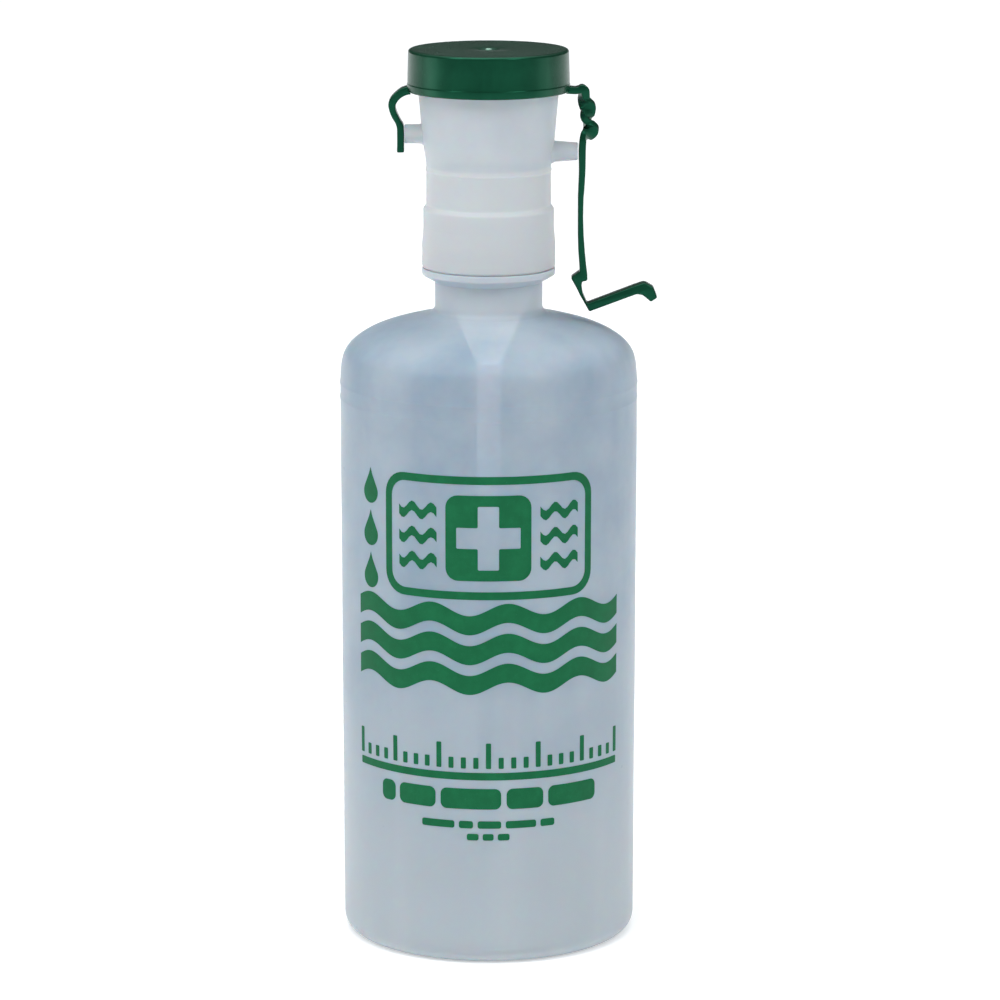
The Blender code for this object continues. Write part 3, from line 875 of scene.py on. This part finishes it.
COVER_STRIP = (  # inner x, inner z, outer x, outer z
    (-18.4, 203.55, -18.4, 205.8),
    (-19.1, 203.5, -19.1, 205.5),
    (-20.1, 203.1, -20.65, 204.95),
    (-21.05, 202.4, -22.0, 203.95),
    (-21.7, 201.5, -23.15, 202.7),
    (-21.95, 200.6, -23.65, 201.3),
    (-21.8, 199.7, -23.45, 199.85),
    (-21.36, 198.6, -22.85, 198.2),
    (-20.7, 197.3, -22.0, 196.75),
    (-20.12, 196.3, -21.68, 195.7),
    (-20.0, 194.8, -21.62, 194.6),
    (-19.98, 192.0, -21.62, 192.0),
    (-19.98, 190.05, -21.66, 190.05),
)
STRAP_STRIP = (  # x, z, half thickness, half width, twist degrees
    (18.4, 204.6, 0.86, 2.15, 0),
    (19.5, 204.5, 0.82, 2.15, 0),
    (20.6, 204.45, 0.80, 2.12, 0),
    (21.45, 204.62, 0.84, 2.05, 0),
    (22.1, 204.82, 1.0, 1.95, 2),
    (22.52, 204.35, 1.08, 1.9, 8),
    (22.55, 203.3, 0.98, 1.75, 16),
    (22.55, 202.4, 0.95, 1.65, 30),
    (22.9, 201.4, 0.92, 1.65, 58),
    (23.45, 200.4, 0.85, 1.9, 86),
    (23.5, 199.4, 0.92, 1.65, 108),
    (23.2, 198.2, 1.0, 1.6, 146),
    (23.3, 197.1, 1.02, 1.6, 180),
    (23.85, 196.1, 0.95, 1.62, 222),
    (24.2, 195.1, 0.85, 1.9, 262),
    (23.7, 194.2, 0.9, 1.75, 302),
    (22.85, 193.5, 0.86, 1.95, 338),
    (22.38, 192.7, 0.84, 2.1, 357),
    (22.2, 191.2, 0.84, 2.15, 360),
    (22.15, 189.0, 0.84, 2.15, 360),
    (22.15, 185.4, 0.78, 2.15, 360),
    (21.98, 181.5, 0.74, 2.15, 360),
    (21.84, 179.2, 0.68, 2.15, 360),
    (21.83, 178.3, 0.67, 2.15, 360),
)
STRIP_SPAN = 6  # rings from one station to the next
STRAP_SPLIT = 10  # the station where its root ends and its straight length starts
STRAP_END = ((21.16, 178.3), (22.5, 178.3))
CORNER_END = ((22.4, 156.08), (21.7, 155.75))
FOOT_OUTLINE = (  # x, z, fillet
    (*STRAP_END[0], 0),
    (*STRAP_END[1], 0),
    (22.42, 174.5, 20),
    (22.55, 170.2, 20),
    (22.85, 166.3, 20),
    (23.2, 162.7, 12),
    (23.47, 160.7, 4),
    (23.5, 159.2, 0.5),
    (22.25, 158.95, 0.35),
    (22.08, 158.0, 2),
    (*CORNER_END[0], 0),
    (*CORNER_END[1], 0),
    (20.95, 157.3, 4),
    (19.55, 159.85, 0.4),
    (21.1, 161.0, 0.6),
    (21.62, 161.35, 0.4),
    (21.56, 162.7, 6),
    (21.28, 166.3, 20),
    (21.17, 170.2, 20),
    (21.16, 174.5, 20),
)
TAB_OUTLINE = (
    (*CORNER_END[0], 0),
    (23.45, 153.62, 0.5),
    (34.9, 158.0, 5),
    (37.1, 158.72, 1.6),
    (39.2, 157.5, 1.0),
    (40.15, 155.1, 0.5),
    (38.6, 154.1, 0.5),
    (36.6, 155.75, 1.2),
    (35.2, 155.95, 1.6),
    (23.95, 151.75, 0.4),
    (*CORNER_END[1], 0),
)


def make_arms(material):
    """The drain cover arm, and the strap in four lengths that meet midway between its bends."""
    cover = []
    for inner_x, inner_z, outer_x, outer_z in smooth_run(COVER_STRIP, STRIP_SPAN):
        inner, outer = Vector((inner_x, inner_z)), Vector((outer_x, outer_z))
        middle, across = (inner + outer) / 2, (outer - inner).normalized()
        ring = []
        for u, v in section((outer - inner).length / 2, STRAP_HALF_WIDTH):
            spot = middle + across * u
            ring.append(Vector((spot.x, v, spot.y)) * MM)
        cover.append(ring)
    rounded_end(cover)
    bends(
        strip("drain_cover_strip", cover, material),
        "dust_cap",
        "drain_cover",
        (-19.9, 0, 204.9),
        (-21.3, 0, 203.6),
        "drain_cover_arm",
    )
    strap = strip_rings(STRAP_STRIP, STRIP_SPAN)
    split = STRAP_SPLIT * STRIP_SPAN
    bends(
        strip("strap_root", strap[: split + 1], material),
        "dust_cap",
        "strap_knuckle",
        (19.9, 0, 204.6),
        (21.2, 0, 204.3),
        "strap_knuckle",
    )
    bends(
        strip("strap_upper", strap[split:], material),
        "strap_knuckle",
        "long_strap",
        (22.8, 0, 194.2),
        (22.6, 0, 192.8),
        "long_strap",
    )
    bends(
        slab("strap_lower", FOOT_OUTLINE, (STRAP_END, CORNER_END), material),
        "long_strap",
        "strap_foot",
        (22.5, 0, 162.1),
        (22.4, 0, 161.1),
        "strap_foot",
    )
    bends(
        slab("strap_tab", TAB_OUTLINE, (CORNER_END,), material),
        "strap_foot",
        "pull_tab",
        (23.0, 0, 153.9),
        (23.5, 0, 152.9),
        "pull_tab",
    )


# ---------------------------------------------------------------- print


def block(x0, z0, x1, z1, fillet=0.0):
    """A rectangle as a loop of (across, height) points in mm, with rounded corners."""
    corners = [(x0, z0, fillet), (x1, z0, fillet), (x1, z1, fillet), (x0, z1, fillet)]
    return rounded(corners)


def wave(x0, x1, middle, thickness, rise, length):
    """A stripe that waves up and down."""
    steps = round((x1 - x0) / 0.7)
    line = []
    for i in range(steps + 1):
        x = x0 + (x1 - x0) * i / steps
        line.append((x, middle + rise * math.sin(TURN * x / length)))
    low = [Vector((x, z - thickness / 2)) for x, z in line]
    high = [Vector((x, z + thickness / 2)) for x, z in reversed(line)]
    return low + high


def drop(x, foot, height):
    """A drop of liquid with its point up."""
    radius = height * 0.31
    points = []
    for i in range(33):
        angle = math.radians(150 + 240 * i / 32)
        away = Vector((math.cos(angle), math.sin(angle))) * radius
        points.append(Vector((x, foot + radius)) + away)
    points.append(Vector((x + radius * 0.22, foot + height * 0.82)))
    points.append(Vector((x, foot + height)))
    points.append(Vector((x - radius * 0.22, foot + height * 0.82)))
    return points


def cross(x, z, reach, half):
    """A plain cross with equal arms."""
    turns = [(-half, -reach), (half, -reach), (half, -half)]
    turns += [(reach, -half), (reach, half), (half, half)]
    turns += [(half, reach), (-half, reach), (-half, half)]
    turns += [(-reach, half), (-reach, -half), (-half, -half)]
    return rounded([(x + u, z + v, 0.35) for u, v in turns])


def badge():
    """A framed first-aid cross between waves."""
    loops = [block(-26.5, 89.0, 26.5, 118.4, 5.5), block(-24.6, 90.9, 24.6, 116.5, 3.9)]
    loops += [block(-10.2, 93.5, 10.2, 113.9, 3.0), cross(0, 103.7, 7.6, 2.5)]
    for middle in (97.7, 103.7, 109.7):
        loops.append(wave(-22.4, -12.4, middle, 2.3, 1.0, 5.0))
        loops.append(wave(12.4, 22.4, middle, 2.3, 1.0, 5.0))
    return loops


def scale_band():
    """A ruler of long and short ticks on a line."""
    loops = [block(-36.5, 45.4, 36.5, 47.2, 0.3)]
    for i in range(25):
        x = -36.0 + 3.0 * i
        height = 54.4 if i % 4 == 0 else 50.9
        loops.append(block(x - 0.62, 48.2, x + 0.62, height, 0.25))
    return loops


def dashes(low, high, start, lengths, gap):
    """A row of rounded bars between two heights."""
    loops = []
    x = start
    for length in lengths:
        loops.append(block(x, low, x + length, high, (high - low) * 0.3))
        x += length + gap
    return loops


def printed(name, loops, material):
    """A thin film of ink cut to loops and wrapped on the bottle's front."""
    curve = bpy.data.curves.new(name, "CURVE")
    curve.dimensions = "2D"
    curve.fill_mode = "BOTH"
    curve.extrude = INK_THICKNESS / 2
    for loop in loops:
        line = curve.splines.new("POLY")
        line.points.add(len(loop) - 1)
        for point, (x, z) in zip(line.points, loop):
            point.co = (x, z, 0, 1)
        line.use_cyclic_u = True
    holder = bpy.data.objects.new(name + "_flat", curve)
    bpy.context.scene.collection.objects.link(holder)
    graph = bpy.context.evaluated_depsgraph_get()
    flat = bpy.data.meshes.new_from_object(holder.evaluated_get(graph))
    bpy.data.objects.remove(holder)
    bm = bmesh.new()
    bm.from_mesh(flat)
    bmesh.ops.remove_doubles(bm, verts=bm.verts, dist=1e-4)
    cuts = [((0.0, z, 0.0), (0, 1, 0)) for z in range(30, 122, 4)]
    cuts += [((x, 0.0, 0.0), (1, 0, 0)) for x in range(-38, 40, 2)]
    for place, across in cuts:
        geometry = bm.verts[:] + bm.edges[:] + bm.faces[:]
        bmesh.ops.bisect_plane(bm, geom=geometry, plane_co=place, plane_no=across)
    for vert in bm.verts:
        across, height, depth = vert.co
        angle = across / BODY_TOP_RADIUS - math.pi / 2
        radius = blown(wall_radius(height), angle, height) + INK_GAP + INK_THICKNESS / 2 + depth
        vert.co = Vector((radius * math.cos(angle), radius * math.sin(angle), height)) * MM
    film = mesh_object(name, bm, material)
    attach(film, "bottle")


def make_print(material):
    printed("printed_badge", badge(), material)
    printed("printed_drops", [drop(-32.0, foot, 8.6) for foot in (109.5, 99.3, 89.1)], material)
    stripes = [wave(-36.7, 36.7, middle, 4.6, 1.5, 18.35) for middle in (69.9, 77.1, 84.3)]
    printed("printed_waves", stripes, material)
    printed("printed_scale", scale_band(), material)
    rows = dashes(38.3, 43.3, -28.2, (4.2, 9.8, 14.6, 9.0, 13.6), 1.3)
    rows += dashes(33.6, 35.4, -16.4, (8.2, 3.4, 5.6, 7.4, 3.6), 1.1)
    rows += dashes(30.7, 32.3, -5.2, (2.8, 2.6, 2.8), 1.0)
    printed("printed_dashes", rows, material)


# ---------------------------------------------------------------- studio


def make_studio():
    scene = bpy.context.scene
    scene.view_settings.view_transform = "Standard"
    camera = bpy.data.objects.new("camera", bpy.data.cameras.new("camera"))
    scene.collection.objects.link(camera)
    camera.location = Vector(EYE) * MM
    camera.rotation_euler = (Vector(LOOK_AT) - Vector(EYE)).to_track_quat("-Z", "Y").to_euler()
    camera.data.lens = LENS
    camera.data.sensor_width = SENSOR
    camera.data.clip_start = 0.01
    camera.data.clip_end = 2 * FLOOR_RADIUS
    scene.camera = camera

    bm = bmesh.new()
    bmesh.ops.create_circle(bm, cap_ends=True, segments=96, radius=FLOOR_RADIUS)
    floor = mesh_object("floor", bm, pale_floor("pale_floor"))

    world = bpy.data.worlds.new("studio")
    world.use_nodes = True
    soft_sky(world.node_tree)
    scene.world = world

    for name, place, wide, tall, power in LAMPS:
        light = bpy.data.lights.new(name, "AREA")
        light.shape = "RECTANGLE"
        light.size = wide
        light.size_y = tall
        light.energy = power
        lamp = bpy.data.objects.new(name, light)
        scene.collection.objects.link(lamp)
        lamp.location = place
        aim = Vector(LAMP_AIM) - Vector(place)
        lamp.rotation_euler = aim.to_track_quat("-Z", "Y").to_euler()


def soft_sky(tree):
    """A studio dome: bright overhead, dim half way down, and pale at the horizon."""
    add, link = tree.nodes.new, tree.links.new
    split = add("ShaderNodeSeparateXYZ")
    link(add("ShaderNodeTexCoord").outputs["Generated"], split.inputs[0])
    dome = add("ShaderNodeValToRGB")
    link(split.outputs["Z"], dome.inputs["Fac"])
    brightest = SKY[-1][1]
    while len(dome.color_ramp.elements) < len(SKY):
        dome.color_ramp.elements.new(0.5)
    for stop, (height, glow) in zip(dome.color_ramp.elements, SKY):
        share = glow / brightest
        stop.position = height
        stop.color = (*(tint * share for tint in SKY_TINT), 1.0)
    background = tree.nodes["Background"]
    link(dome.outputs["Color"], background.inputs["Color"])
    background.inputs["Strength"].default_value = brightest


def main():
    make_studio()
    blues = (0.265, 0.355, 0.445), (0.355, 0.435, 0.505)
    foot, neck = (0.43, 0.495, 0.54), (0.52, 0.585, 0.64)
    # foot paints the body lighter from 100 mm down to its base, a painted brightening where light
    # from the floor falls
    tints = [(foot, 0.10, 0.0), (neck, 0.149, 0.154)]
    bottle_skin = translucent_plastic("bottle_skin", *blues, 0.85, 0.30, tints)
    bottle_inside = translucent_plastic("bottle_inside", *blues, 0.35, 0.5, tints)
    greys = (0.535, 0.595, 0.645), (0.595, 0.645, 0.685)
    # step paints two highlight lines round the cup, near 186 mm and 177 mm, where its steps catch
    # light from above
    band, step = (0.60, 0.635, 0.66), (0.655, 0.69, 0.71)
    tints = [(step, 0.1872, 0.1861), (band, 0.1857, 0.1846)]
    tints += [(step, 0.1780, 0.1771), (band, 0.1767, 0.1757)]
    cup_skin = translucent_plastic("cup_skin", *greys, 0.76, 0.34, tints, 0.0008)
    cup_inside = translucent_plastic("cup_inside", *greys, 0.30, 0.45)
    pales = (0.55, 0.68, 0.76), (0.61, 0.73, 0.80)
    tube_plastic = translucent_plastic("tube_plastic", *pales, 1.0, 0.32)
    # painted glow: the dip tube shines by its own emission from 85 mm up, full above 112 mm, so it
    # shows through the bottle's wall
    painted_glow(tube_plastic, (0.56, 0.76, 0.86), 0.58, 0.085, 0.112)
    white = white_plastic("white_plastic")
    # painted glow: the white insert shines by its own emission below 160 mm, full below 147 mm, so
    # it shows inside the bottle
    painted_glow(white, (0.82, 0.81, 0.79), 1.2, 0.160, 0.147)
    green = green_plastic("green_plastic")
    make_bottle(bottle_skin, bottle_inside)
    make_nozzle(white, tube_plastic, foam("gasket_foam"))
    make_eye_cup(cup_skin, cup_inside)
    make_cap(green)
    make_arms(green)
    make_print(ink("green_ink"))


main()
